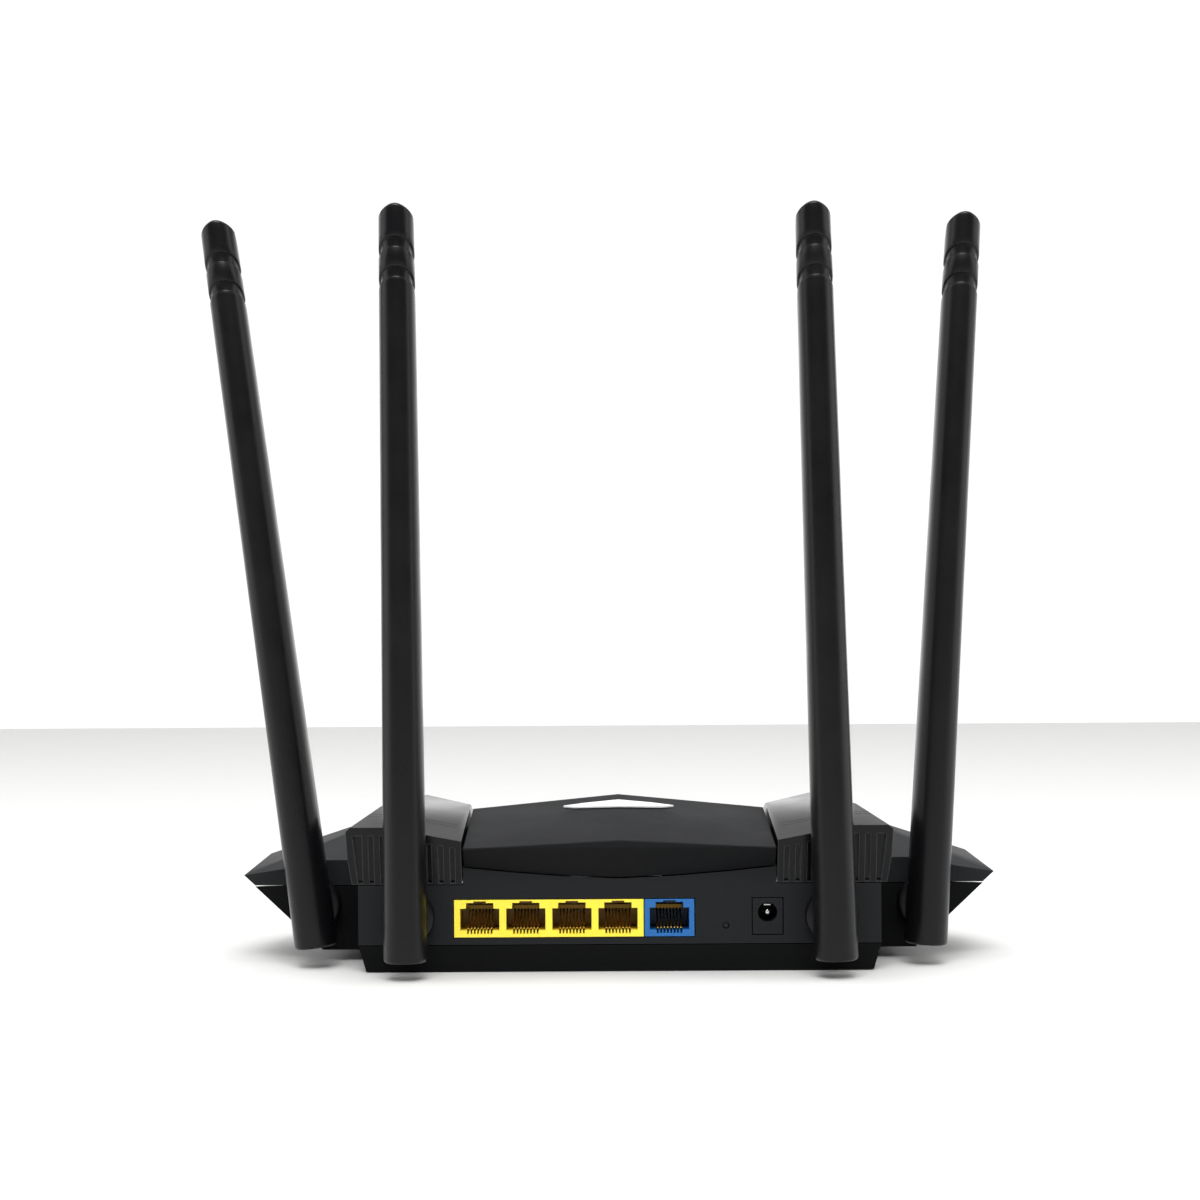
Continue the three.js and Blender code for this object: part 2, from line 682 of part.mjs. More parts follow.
function heatSink(x, y) {
  const half = 16;
  const foot = boardTopZ + clearance + 1.8;
  const base = box(x - half, x + half, y - half, y + half, foot, foot + 2);
  const fins = Array.from({ length: 7 }, (_, i) => {
    const finX = x - half + 1 + i * 5;
    return box(finX - 0.6, finX + 0.6, y - half, y + half, foot + 1.8, foot + 9);
  });
  return join(base, ...fins);
}

// A blunt-ended tube along a smooth curve through the given points.
function lead(points, radius) {
  const curve = new THREE.CatmullRomCurve3(points.map((p) => new THREE.Vector3(...p)));
  const ring = Array.from({ length: 8 }, (_, i) =>
    new THREE.Vector2(radius * Math.cos((i * Math.PI) / 4), radius * Math.sin((i * Math.PI) / 4)));
  return toSolid(new THREE.ExtrudeGeometry(new THREE.Shape(ring), { steps: 10, extrudePath: curve }));
}

// ---- antennas: each is built upright, with its hinge pin at the origin ----

const pinDrop = swivelZ - hingePinZ;
const bladeFoot = bladeFootGap - hingePinZ;
const bladeTip = bladeFoot + bladeLength;
const halfBladeWidth = bladeWidth / 2;
const halfBladeDepth = bladeDepth / 2;

// Section of the blade, right half, as shares of its half width and half depth: a round front
// and a full back with rounded corners.
const bladeSection = [
  [0, -1], [0.26, -0.97], [0.5, -0.87], [0.71, -0.71], [0.87, -0.48], [0.97, -0.2], [1, 0.1],
  [0.99, 0.62], [0.9, 0.88], [0.66, 1],
];

function bladeForm(inset) {
  const right = bladeSection.map(([a, b]) => [
    a * (halfBladeWidth - inset), b * (halfBladeDepth - inset)]);
  const left = right.slice(1).reverse().map(([x, y]) => [-x, y]);
  const shape = new THREE.Shape([...right, ...left].map(([x, y]) => new THREE.Vector2(x, y)));
  const levels = [
    [bladeFoot, 0.88],
    [bladeFoot + bladeFootRoll, 1],
    [bladeTip, bladeTopShare],
  ];
  const steps = levels.length - 1;
  const form = new THREE.ExtrudeGeometry(shape, { depth: steps, steps, bevelEnabled: false });
  const places = form.getAttribute("position");
  for (let i = 0; i < places.count; i++) {
    const [z, scale] = levels[Math.round(places.getZ(i))];
    places.setXYZ(i, places.getX(i) * scale, places.getY(i) * scale, z);
  }
  return common(toSolid(form), tipRoof(inset));
}

// The space under the blade's slanted tip: a ridge that falls gently to the middle and then
// steeply to the back, with both sides sloping off it.
function tipRoof(inset) {
  const reach = halfBladeDepth * bladeTopShare;
  const ridge = [
    [-2 * reach, tipFrontFall],
    [0, -tipFrontFall],
    [2 * reach, tipFrontFall - 2 * tipRearFall],
  ];
  const spread = bladeWidth;
  return hull(ridge.flatMap(([y, rise]) => [-1, 0, 1].flatMap((side) => {
    const z = bladeTip - inset + rise - Math.abs(side) * spread * tipSideFall;
    return [[side * spread, y, z], [side * spread, y, bladeFoot - 1]];
  })));
}

function ringGrooves() {
  const bands = ringDepths.map((depth) => {
    const band = new THREE.BoxGeometry(30, 40, ringHeight * Math.cos(ringTilt));
    band.rotateX(-ringTilt);
    const drop = halfBladeDepth * bladeTopShare * Math.tan(ringTilt);
    return toSolid(band.translate(0, 0, bladeTip - depth - ringHeight / 2 - drop));
  });
  return cut(join(...bands), bladeForm(ringDepth));
}

const elbowReach = halfBladeDepth + 1.6; // pin to the barrel's near end
const slotRadius = Math.hypot(elbowReach, pinDrop + barrelRadius * 0.5) + 1;

function blade() {
  const slotHalf = tongueWidth / 2 + clearance;
  const sweep = common(
    rodX(slotRadius, -slotHalf, slotHalf, 0, 0, 20),
    box(-slotHalf, slotHalf, 0, 20, -20, 20),
  );
  const eye = rodX(hingeEyeRadius + clearance, -slotHalf, slotHalf, 0, 0, 16);
  const below = box(-slotHalf, slotHalf, -hingeEyeRadius - clearance, 1, -20, 0);
  const pinHole = rodX(hingePinRadius + clearance, -halfBladeWidth + pinCover, halfBladeWidth - pinCover, 0, 0, 12);
  const half = bladeBore / 2;
  const bore = box(-half, half, -half, half, slotRadius - 3, bladeTip - ringDepths[1] - 12);
  return cut(bladeForm(0), sweep, eye, below, pinHole, bore, ringGrooves());
}

// The elbow: an eye round the pin, an arm out of the blade, and a barrel with a hollow neck.
function knuckle() {
  const half = tongueWidth / 2;
  const eye = rodX(hingeEyeRadius, -half, half, 0, 0, 16);
  const arm = hull([-half, half].flatMap((x) => [
    [x, 0, -hingeEyeRadius], [x, 0, hingeEyeRadius],
    [x, elbowReach + 0.5, -hingeEyeRadius + 0.6], [x, elbowReach + 0.5, pinDrop + barrelRadius * 0.5],
  ]));
  const wallFace = standOff;
  const barrel = rodY(barrelRadius, 0, elbowReach, wallFace - clearance, pinDrop, 16);
  const flange = rodY(flangeRadius, 0, wallFace - clearance - flangeThickness, wallFace - clearance,
    pinDrop, 28);
  const neck = rodY(neckRadius, 0, elbowReach + 1, wallFace + neckLength, pinDrop, 16);
  const groove = cut(
    rodY(neckRadius + 1, 0, wallFace + wall + clearance, wallFace + wall + 2 * clearance
      + clipThickness + 0.2, pinDrop, 16),
    rodY(neckRadius - grooveDepth, 0, 0, 40, pinDrop, 16),
  );
  return cut(
    join(eye, arm, barrel, flange, neck),
    groove,
    rodX(hingePinRadius + clearance, -10, 10, 0, 0, 12),
    rodY(coreBore, 0, elbowReach + 3, wallFace + neckLength + 1, pinDrop, 8),
  );
}

function swivelClip() {
  const y0 = standOff + wall + clearance + 0.1 + clearance / 2;
  const ring = rodY(neckRadius - grooveDepth + clipRing, 0, y0, y0 + clipThickness - clearance / 2, pinDrop, 16);
  const bore = rodY(neckRadius - grooveDepth + clearance, 0, y0 - 1, y0 + 4, pinDrop, 16);
  const mouth = box(-1.9, 1.9, y0 - 1, y0 + 4, pinDrop, pinDrop + 10);
  return cut(ring, bore, mouth);
}

function antennaSet(antenna) {
  const mount = antennaMount(antenna);
  const swivel = new THREE.Group();
  swivel.position.set(mount.x, mount.y - standOff, mount.z);
  swivel.rotation.y = THREE.MathUtils.degToRad(antenna.side * antenna.lean);
  const upright = new THREE.Group();
  upright.position.z = -pinDrop;
  swivel.add(upright);
  parts.add(swivel);
  place(antenna.name + "_blade", blade(), antennaBlack, upright);
  place(antenna.name + "_knuckle", knuckle(), antennaBlack, upright);
  const pinHalf = halfBladeWidth - pinCover - clearance;
  place(antenna.name + "_hinge_pin", rodX(hingePinRadius, -pinHalf, pinHalf, 0, 0, 12), steel, upright);
  place(antenna.name + "_radiator",
    box(-2.4, 2.4, -0.4, 0.4, slotRadius + 1, bladeTip - ringDepths[1] - 14), copper, upright);
  place(antenna.name + "_swivel_clip", swivelClip(), steel, upright);
  const neckEnd = mount.y + neckLength + clearance;
  const inward = (distance) => mount.x - antenna.side * distance;
  const routes = antenna.setback
    ? [[inward(0), neckEnd, mount.z], [inward(4), neckEnd + 8, mount.z + 1],
      [inward(20), neckEnd + 14, mount.z + 2], [inward(38), neckEnd + 16, boardTopZ + 1.5]]
    : [[inward(0), neckEnd, mount.z], [inward(1), neckEnd + 8, mount.z],
      [inward(6), neckEnd + 18, mount.z - 1], [inward(10), neckEnd + 26, boardTopZ + 1.5]];
  place(antenna.name + "_coax_lead", lead(routes, 0.6), cableGrey);
}

// ---- assembly ----

place("bottom_cover", bottomCover(), lowerBlack);
place("top_cover", topCover(), satinBlack);
place("deck_panel", deckPanel(), deckBlack);
place("left_shoulder_cover", shoulderCover(-1), glossBlack);
place("right_shoulder_cover", shoulderCover(1), glossBlack);

// A thin plate that follows the deck's two slopes, a clearance above them.
function badge() {
  const half = badgeWidth / 2;
  const y1 = ridgeY - badgeSetback;
  const endY = y1 - badgeSweep;
  const outline = [
    [0, y1 - badgeDepth],
    [0, y1],
    [half - badgeEndCut, endY - badgeEndDepth],
    [half, endY],
  ];
  const column = hull(mirrored(outline.flatMap(([x, y]) => [[x, y, deckLipZ], [x, y, deckRidgeZ + 5]])));
  const deck = hull(deckPoints);
  const layer = cut(deck.translate([0, 0, clearance + badgeThickness]), deck.translate([0, 0, clearance]));
  return common(column, layer);
}
place("badge_strip", badge(), badgeSilver);

place("status_light_bar", common(lightBar(0), hull(wingUpper(clearance))), clearLens);
place("light_guide", box(-lightWidth / 2 + 4, lightWidth / 2 - 4, noseY - 34, noseY - 8 - clearance,
  lightZ - 0.8, lightZ + 0.8), clearLens);

feetAt((x, y) => {
  const name = (y < 0 ? "rear_" : "front_") + (x < 0 ? "left" : "right") + "_foot";
  place(name, rodZ(footRadius, x, y, 0, caseFloorZ + footRecess - clearance, 24), rubber);
});

for (const { x, y, floor } of screws) {
  const name = (floor === caseFloorZ ? "rear_" : "front_") + (x < 0 ? "left" : "right") + "_case_screw";
  const headFoot = floor + 0.3;
  const head = rodZ(screwHeadRadius, x, y, headFoot, headFoot + screwHeadHeight, 16);
  const shank = rodZ(screwShankRadius, x, y, headFoot, headFoot + screwLength, 12);
  const drive = join(box(x - 1.6, x + 1.6, y - 0.3, y + 0.3, 0, headFoot + 0.9),
    box(x - 0.3, x + 0.3, y - 1.6, y + 1.6, 0, headFoot + 0.9));
  place(name, cut(join(head, shank), drive), steel);
}

place("main_board", mainBoard(), boardGreen);
place("lan_jack_housing", jackHousing(lanLeftX, lanRightX, lanPortX), jackYellow);
place("wan_jack_housing", jackHousing(wanLeftX, wanRightX, [wanPortX]), jackBlue);
lanPortX.forEach((x, i) => place("lan_" + (i + 1) + "_contacts", contactComb(x), gold));
place("wan_contacts", contactComb(wanPortX), gold);
place("power_jack_body", powerJackBody(), satinBlack);
place("power_jack_pin", powerPinSolid(), steel);
place("power_jack_spring", powerSpring(), steel);
place("reset_switch_body", resetSwitchBody(), chipBlack);
place("reset_button", resetButton(), chipBlack);

const onBoard = boardTopZ + clearance;
place("processor_chip", box(9, 31, -21, 1, onBoard, onBoard + 1.5), chipBlack);
place("heat_sink", heatSink(20, -10), aluminium);
place("radio_shield", box(-44, -8, -26, 8, onBoard, onBoard + 3.6), steel);
place("lan_transformer", box(-38, -8, -46, -34, onBoard, onBoard + 5.4), chipBlack);
place("wan_transformer", box(8, 22, -46, -34, onBoard, onBoard + 5.4), chipBlack);
place("bulk_capacitor", rodZ(4, 45, -42, onBoard, onBoard + 11, 20), aluminium);

antennas.forEach(antennaSet);

export default parts;
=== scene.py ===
import json
import math

import bmesh
import bpy
from mathutils import Matrix, Vector

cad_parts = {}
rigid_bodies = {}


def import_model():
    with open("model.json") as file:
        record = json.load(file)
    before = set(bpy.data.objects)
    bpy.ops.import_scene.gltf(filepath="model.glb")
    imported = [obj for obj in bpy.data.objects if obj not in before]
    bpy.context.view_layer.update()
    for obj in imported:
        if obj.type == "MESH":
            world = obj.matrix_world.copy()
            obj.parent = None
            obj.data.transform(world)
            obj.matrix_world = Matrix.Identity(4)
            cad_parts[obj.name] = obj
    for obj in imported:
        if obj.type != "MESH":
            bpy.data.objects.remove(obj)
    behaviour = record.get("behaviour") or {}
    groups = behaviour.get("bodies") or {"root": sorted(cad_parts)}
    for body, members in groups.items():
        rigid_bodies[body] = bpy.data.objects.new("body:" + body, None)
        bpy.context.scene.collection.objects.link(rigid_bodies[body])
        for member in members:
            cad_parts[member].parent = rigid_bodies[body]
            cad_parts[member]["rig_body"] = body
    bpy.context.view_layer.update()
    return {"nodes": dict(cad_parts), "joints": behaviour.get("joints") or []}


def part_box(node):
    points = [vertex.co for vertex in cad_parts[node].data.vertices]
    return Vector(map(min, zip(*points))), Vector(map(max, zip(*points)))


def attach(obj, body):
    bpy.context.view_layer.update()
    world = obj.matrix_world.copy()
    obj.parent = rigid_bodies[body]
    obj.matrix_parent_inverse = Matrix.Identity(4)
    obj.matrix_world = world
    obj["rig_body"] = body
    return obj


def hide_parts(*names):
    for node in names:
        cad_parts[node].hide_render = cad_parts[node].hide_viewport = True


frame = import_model()
mm = 0.001
scene = bpy.context.scene
jointOf = {j["name"]: j for j in frame["joints"]}


# colours are sRGB hex, the shader wants linear light
def linear(hexColour):
    shares = [int(hexColour[i:i + 2], 16) / 255 for i in (1, 3, 5)]
    return [s / 12.92 if s <= 0.04045 else ((s + 0.055) / 1.055) ** 2.4 for s in shares] + [1.0]


# one node, its settings and what feeds its sockets
def addNode(tree, kind, settings=None, feeds=None):
    node = tree.nodes.new(kind)
    for key, value in (settings or {}).items():
        if isinstance(key, int) or key in node.inputs:
            node.inputs[key].default_value = value
        else:
            setattr(node, key, value)
    for key, source in (feeds or {}).items():
        tree.links.new(source, node.inputs[key])
    return node


def newMaterial(name):
    material = bpy.data.materials.new(name)
    material.use_nodes = True
    tree = material.node_tree
    tree.nodes.clear()
    output = addNode(tree, "ShaderNodeOutputMaterial")
    place = addNode(tree, "ShaderNodeTexCoord").outputs["Object"]
    return material, tree, output, place


noiseSpread = (0.3, 0.7)  # a noise's values lie between these, apart from a few
edgeTurn = 0.25  # an edge is fully worn where its rounded normal turns this far away


# 1 along outer edges and 0 on flats, from how far a rounded normal turns away from the real one
def edgeMask(tree, radius):
    rounded = addNode(tree, "ShaderNodeBevel", {"samples": 4, "Radius": radius})
    real = addNode(tree, "ShaderNodeNewGeometry")
    turn = addNode(tree, "ShaderNodeVectorMath", {"operation": "DOT_PRODUCT"},
                   {0: rounded.outputs["Normal"], 1: real.outputs["Normal"]})
    return addNode(tree, "ShaderNodeMapRange", {"From Min": 1.0, "From Max": 1.0 - edgeTurn},
                   {"Value": turn.outputs["Value"]}).outputs["Result"]


# 0 to 1 over the usual range of a noise, spread over the two ends of a roughness
def glossFrom(tree, noise, roughness):
    return addNode(tree, "ShaderNodeMapRange",
                   {"From Min": noiseSpread[0], "From Max": noiseSpread[1],
                    "To Min": roughness[0], "To Max": roughness[1]},
                   {"Value": noise.outputs["Fac"]}).outputs["Result"]


# painted shade: the mouths of the sockets darken inwards, towards the back where shade falls
def paintedShadeInward(tree, place, look, base):
    inward = addNode(tree, "ShaderNodeSeparateXYZ", None, {"Vector": place})
    start, end = look["depth"]
    shadedShare = addNode(tree, "ShaderNodeMapRange", {"From Min": start, "From Max": end},
                   {"Value": inward.outputs["Y"]})
    return addNode(tree, "ShaderNodeMix", {"data_type": "RGBA", 7: linear(look["paintedShadeColour"])},
                   {0: shadedShare.outputs["Result"], 6: base}).outputs[2]


plastic = dict(cloudDetail=4.0, cloudRoughness=0.55, grainDetail=3.0, grainRoughness=0.7,
               shine=0.5, coatRoughness=0.04, glowDepth=0.6 * mm)


# A moulded plastic: the mould's grain, a faint cloudiness of colour and gloss from the flow of
# the melt, and edges rubbed a little paler by handling.
def mouldedPlastic(name, look):
    material, tree, output, place = newMaterial(name)
    cloud = addNode(tree, "ShaderNodeTexNoise",
                    {"Scale": 1 / look["cloudSize"], "Detail": plastic["cloudDetail"],
                     "Roughness": plastic["cloudRoughness"]}, {"Vector": place})
    grain = addNode(tree, "ShaderNodeTexNoise",
                    {"Scale": 1 / look["grainSize"], "Detail": plastic["grainDetail"],
                     "Roughness": plastic["grainRoughness"]}, {"Vector": place})
    body = addNode(tree, "ShaderNodeMix",
                   {"data_type": "RGBA", 6: linear(look["colour"]), 7: linear(look["cloudColour"])},
                   {0: cloud.outputs["Fac"]})
    base = body.outputs[2]
    # painted shade, darker deeper into a socket's mouth
    if "depth" in look:
        base = paintedShadeInward(tree, place, look, base)
    rubbed = addNode(tree, "ShaderNodeMath", {"operation": "MULTIPLY", 1: look["wear"]},
                     {0: edgeMask(tree, look["edgeRadius"])})
    worn = addNode(tree, "ShaderNodeMix", {"data_type": "RGBA", 7: linear(look["edgeColour"])},
                   {0: rubbed.outputs[0], 6: base})
    bump = addNode(tree, "ShaderNodeBump",
                   {"Strength": look["grainStrength"], "Distance": look["grainHeight"]},
                   {"Height": grain.outputs["Fac"]})
    shader = addNode(tree, "ShaderNodeBsdfPrincipled",
                     {"IOR": look["ior"], "Specular IOR Level": look.get("shine", plastic["shine"]),
                      "Coat Weight": look.get("coat", 0.0),
                      "Coat Roughness": plastic["coatRoughness"],
                      "Subsurface Weight": look.get("glow", 0.0),
                      "Subsurface Scale": plastic["glowDepth"]},
                     {"Base Color": worn.outputs[2], "Normal": bump.outputs["Normal"],
                      "Roughness": glossFrom(tree, cloud, look["roughness"])})
    tree.links.new(shader.outputs["BSDF"], output.inputs["Surface"])
    return material


metal = dict(lineDetail=4.0, lineRoughness=0.6, lineStrength=0.25)


# A bare or plated metal: drawing lines or plating ripple, with a fine spread of gloss.
def workedMetal(name, look):
    material, tree, output, place = newMaterial(name)
    along = addNode(tree, "ShaderNodeMapping", {"Scale": look["stretch"]}, {"Vector": place})
    lines = addNode(tree, "ShaderNodeTexNoise",
                    {"Scale": 1 / look["lineSize"], "Detail": metal["lineDetail"],
                     "Roughness": metal["lineRoughness"]}, {"Vector": along.outputs["Vector"]})
    tint = addNode(tree, "ShaderNodeMix",
                   {"data_type": "RGBA", 6: linear(look["colour"]), 7: linear(look["darkColour"])},
                   {0: lines.outputs["Fac"]})
    base = tint.outputs[2]
    # painted shade, darker deeper into a socket's mouth
    if "depth" in look:
        base = paintedShadeInward(tree, place, look, base)
    bump = addNode(tree, "ShaderNodeBump",
                   {"Strength": metal["lineStrength"], "Distance": look["lineHeight"]},
                   {"Height": lines.outputs["Fac"]})
    shader = addNode(tree, "ShaderNodeBsdfPrincipled", {"Metallic": 1.0},
                     {"Base Color": base, "Normal": bump.outputs["Normal"],
                      "Roughness": glossFrom(tree, lines, look["roughness"])})
    tree.links.new(shader.outputs["BSDF"], output.inputs["Surface"])
    return material


print("materials")

# ABS moulded against a spark-eroded tool: near black, with soft wide highlights. The real grain is
# 0.1 mm, and it is drawn at 0.5 mm here, and as coarse on the other cases, so that it shows.
satinAbs = mouldedPlastic("satin_moulded_abs", dict(
    colour="#0d0f12", cloudColour="#141619", edgeColour="#303134", wear=0.3,
    roughness=(0.48, 0.6), ior=1.5, shine=0.22, cloudSize=0.03, grainSize=0.5 * mm,
    grainHeight=0.03 * mm, grainStrength=0.35, edgeRadius=0.5 * mm))

# The same ABS from a coarser mould, duller, and darker as painted shade on the inward-sloping lower
# cover.
shadedLowerAbs = mouldedPlastic("coarse_abs_painted_shade", dict(
    colour="#060707", cloudColour="#0b0c0d", edgeColour="#232426", wear=0.25,
    roughness=(0.55, 0.68), ior=1.46, shine=0.1, cloudSize=0.03, grainSize=0.6 * mm,
    grainHeight=0.04 * mm, grainStrength=0.4, edgeRadius=0.5 * mm))

# ABS deck with a fine silk grain: reflects a broad grey band at a low angle.
deckAbs = mouldedPlastic("silk_moulded_abs", dict(
    colour="#0f1012", cloudColour="#151618", edgeColour="#303134", wear=0.25,
    roughness=(0.58, 0.68), ior=1.5, shine=0.12, cloudSize=0.025, grainSize=0.4 * mm,
    grainHeight=0.02 * mm, grainStrength=0.25, edgeRadius=0.5 * mm))

# ABS moulded against a polished tool: black, with clear reflections that the slow ripple of the
# moulding bends a little, and pale rubbed edges.
glossAbs = mouldedPlastic("polished_abs", dict(
    colour="#060708", cloudColour="#0b0c0e", edgeColour="#6c6d70", wear=0.6,
    roughness=(0.14, 0.22), ior=1.5, shine=0.2, cloudSize=0.02, grainSize=2.5 * mm,
    grainHeight=0.01 * mm, grainStrength=0.04, edgeRadius=0.4 * mm))

# Polyurethane moulded over the antenna: satin black, with two soft highlights along its round
# front.
antennaSkin = mouldedPlastic("moulded_polyurethane", dict(
    colour="#08080a", cloudColour="#0e0e10", edgeColour="#242527", wear=0.2,
    roughness=(0.26, 0.36), ior=1.5, shine=0.24, cloudSize=0.018, grainSize=0.45 * mm,
    grainHeight=0.02 * mm, grainStrength=0.25, edgeRadius=0.4 * mm))

# Glass-filled PBT of the jacks: strong colour, slightly waxy, faint flow marks.
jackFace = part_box("lan_jack_housing")[0].y
mouthDepth = (jackFace + 0.3 * mm, jackFace + 5 * mm)
# painted shade: from just inside the jack's face the colour darkens towards the back of the mouth
yellowPbt = mouldedPlastic("moulded_pbt_yellow", dict(
    depth=mouthDepth, paintedShadeColour="#a8850f",
    colour="#f7df2e", cloudColour="#fbe548", edgeColour="#fbe97a", wear=0.4,
    roughness=(0.38, 0.5), ior=1.55, cloudSize=0.006, grainSize=0.35 * mm,
    grainHeight=0.015 * mm, grainStrength=0.3, edgeRadius=0.2 * mm, glow=0.15))
bluePbt = mouldedPlastic("moulded_pbt_blue", dict(
    depth=mouthDepth, paintedShadeColour="#0c3a66",
    colour="#02589c", cloudColour="#0566ac", edgeColour="#3796d8", wear=0.4,
    roughness=(0.38, 0.5), ior=1.55, cloudSize=0.006, grainSize=0.35 * mm,
    grainHeight=0.015 * mm, grainStrength=0.3, edgeRadius=0.2 * mm, glow=0.15))

# Silicone rubber feet: matt, dusty, with a coarse grain.
siliconeRubber = mouldedPlastic("cast_silicone_rubber", dict(
    colour="#1c1c1d", cloudColour="#2a2a2b", edgeColour="#3b3b3c", wear=0.4,
    roughness=(0.72, 0.9), ior=1.42, cloudSize=0.003, grainSize=0.3 * mm,
    grainHeight=0.04 * mm, grainStrength=0.6, edgeRadius=0.3 * mm))

# FR4 laminate under solder mask: glossy green with a woven undertone.
boardLaminate = mouldedPlastic("laminated_fr4", dict(
    colour="#0f4a2a", cloudColour="#156238", edgeColour="#9a8b4a", wear=0.5,
    roughness=(0.25, 0.4), ior=1.52, cloudSize=0.002, grainSize=0.8 * mm,
    grainHeight=0.02 * mm, grainStrength=0.3, edgeRadius=0.2 * mm))

# Transfer-moulded epoxy of chips and coils: matt charcoal with a sandy grain.
packageEpoxy = mouldedPlastic("moulded_epoxy", dict(
    colour="#0b0b0c", cloudColour="#121213", edgeColour="#2b2b2c", wear=0.3,
    roughness=(0.55, 0.7), ior=1.55, cloudSize=0.002, grainSize=0.25 * mm,
    grainHeight=0.02 * mm, grainStrength=0.5, edgeRadius=0.15 * mm))

# Extruded PVC of the leads: smooth, slightly greasy shine.
leadPvc = mouldedPlastic("extruded_pvc", dict(
    colour="#4d4f52", cloudColour="#5a5c60", edgeColour="#77797d", wear=0.2,
    roughness=(0.35, 0.45), ior=1.53, cloudSize=0.002, grainSize=0.3 * mm,
    grainHeight=0.01 * mm, grainStrength=0.2, edgeRadius=0.1 * mm))

# Gold flash over phosphor bronze: warm, with a slight plating ripple; darkened deeper in the jack
# as painted shade.
goldFlash = workedMetal("gold_plated_bronze", dict(
    depth=(jackFace + 8 * mm, jackFace + 13 * mm), paintedShadeColour="#2c2109",
    colour="#e2b860", darkColour="#b88a3c", roughness=(0.22, 0.36), lineSize=0.3 * mm,
    lineHeight=0.01 * mm, stretch=(1, 1, 1)))

# Nickel over stamped steel: bright, with faint drawing lines.
nickelSteel = workedMetal("nickel_plated_steel", dict(
    colour="#d3d4d3", darkColour="#a9aaa8", roughness=(0.16, 0.3), lineSize=0.5 * mm,
    lineHeight=0.01 * mm, stretch=(1, 1, 6)))

# Silver-painted plate of the badge: pale pigment under a satin lacquer, so it stays light from
# every side.
silverPaint = mouldedPlastic("silver_painted_abs", dict(
    colour="#c9cbcd", cloudColour="#e6e7e8", edgeColour="#f6f6f6", wear=0.6,
    roughness=(0.3, 0.42), ior=1.5, cloudSize=0.006, grainSize=0.3 * mm,
    grainHeight=0.01 * mm, grainStrength=0.3, edgeRadius=0.2 * mm, coat=0.3))

# Extruded aluminium of the heat sink and can: dull silver with die lines.
dieAluminium = workedMetal("extruded_aluminium", dict(
    colour="#c3c6c9", darkColour="#9b9ea1", roughness=(0.35, 0.5), lineSize=0.6 * mm,
    lineHeight=0.01 * mm, stretch=(1, 0.1, 1)))

# Rolled copper of the radiators: reddish, with patches of tarnish.
rolledCopper = workedMetal("rolled_copper", dict(
    colour="#c98157", darkColour="#9c5c3a", roughness=(0.3, 0.45), lineSize=1.2 * mm,
    lineHeight=0.01 * mm, stretch=(1, 1, 0.2)))


# Injection-moulded polycarbonate of the light bar, which is not lit: clear and faintly grey, with a
# slight haze.
def clearPolycarbonate(name, look):
    material, tree, output, place = newMaterial(name)
    haze = addNode(tree, "ShaderNodeTexNoise",
                   {"Scale": 1 / look["hazeSize"], "Detail": look["hazeDetail"]}, {"Vector": place})
    low, high = look["roughness"]
    gloss = addNode(tree, "ShaderNodeMapRange", {"To Min": low, "To Max": high},
                    {"Value": haze.outputs["Fac"]})
    bump = addNode(tree, "ShaderNodeBump",
                   {"Strength": look["hazeStrength"], "Distance": look["hazeHeight"]},
                   {"Height": haze.outputs["Fac"]})
    shader = addNode(tree, "ShaderNodeBsdfPrincipled",
                     {"Base Color": linear(look["colour"]), "IOR": look["ior"],
                      "Transmission Weight": look["clearness"]},
                     {"Roughness": gloss.outputs["Result"], "Normal": bump.outputs["Normal"]})
    tree.links.new(shader.outputs["BSDF"], output.inputs["Surface"])
    return material


lensPolycarbonate = clearPolycarbonate("moulded_polycarbonate", dict(
    colour="#c9d2d6", ior=1.585, clearness=0.75, roughness=(0.12, 0.3), hazeSize=1.5 * mm,
    hazeDetail=3.0, hazeHeight=0.02 * mm, hazeStrength=0.2))


def newPiece(name, shape, material):
    mesh = bpy.data.meshes.new(name)
    shape.to_mesh(mesh)
    shape.free()
    mesh.materials.append(material)
    piece = bpy.data.objects.new(name, mesh)
    scene.collection.objects.link(piece)
    return piece


def shadeByAngle(piece, degrees):
    piece.data.shade_smooth()
    piece.data.set_sharp_from_angle(angle=math.radians(degrees))


# the modifiers of a piece, made final in its mesh
def settle(piece):
    bpy.context.view_layer.update()
    evaluated = piece.evaluated_get(bpy.context.evaluated_depsgraph_get())
    final = bpy.data.meshes.new_from_object(evaluated)
    piece.modifiers.clear()
    piece.data = final
    return piece


def cutInto(piece, *cutters, operation="DIFFERENCE"):
    for cutter in cutters:
        step = piece.modifiers.new("cut", "BOOLEAN")
        step.operation = operation
        step.solver = "EXACT"
        step.object = cutter
        settle(piece)
        bpy.data.objects.remove(cutter)
    return piece


edges = dict(weld=1e-6, flat=1.0, sharp=28, segments=2, smooth=40)  # metres, degrees, a count


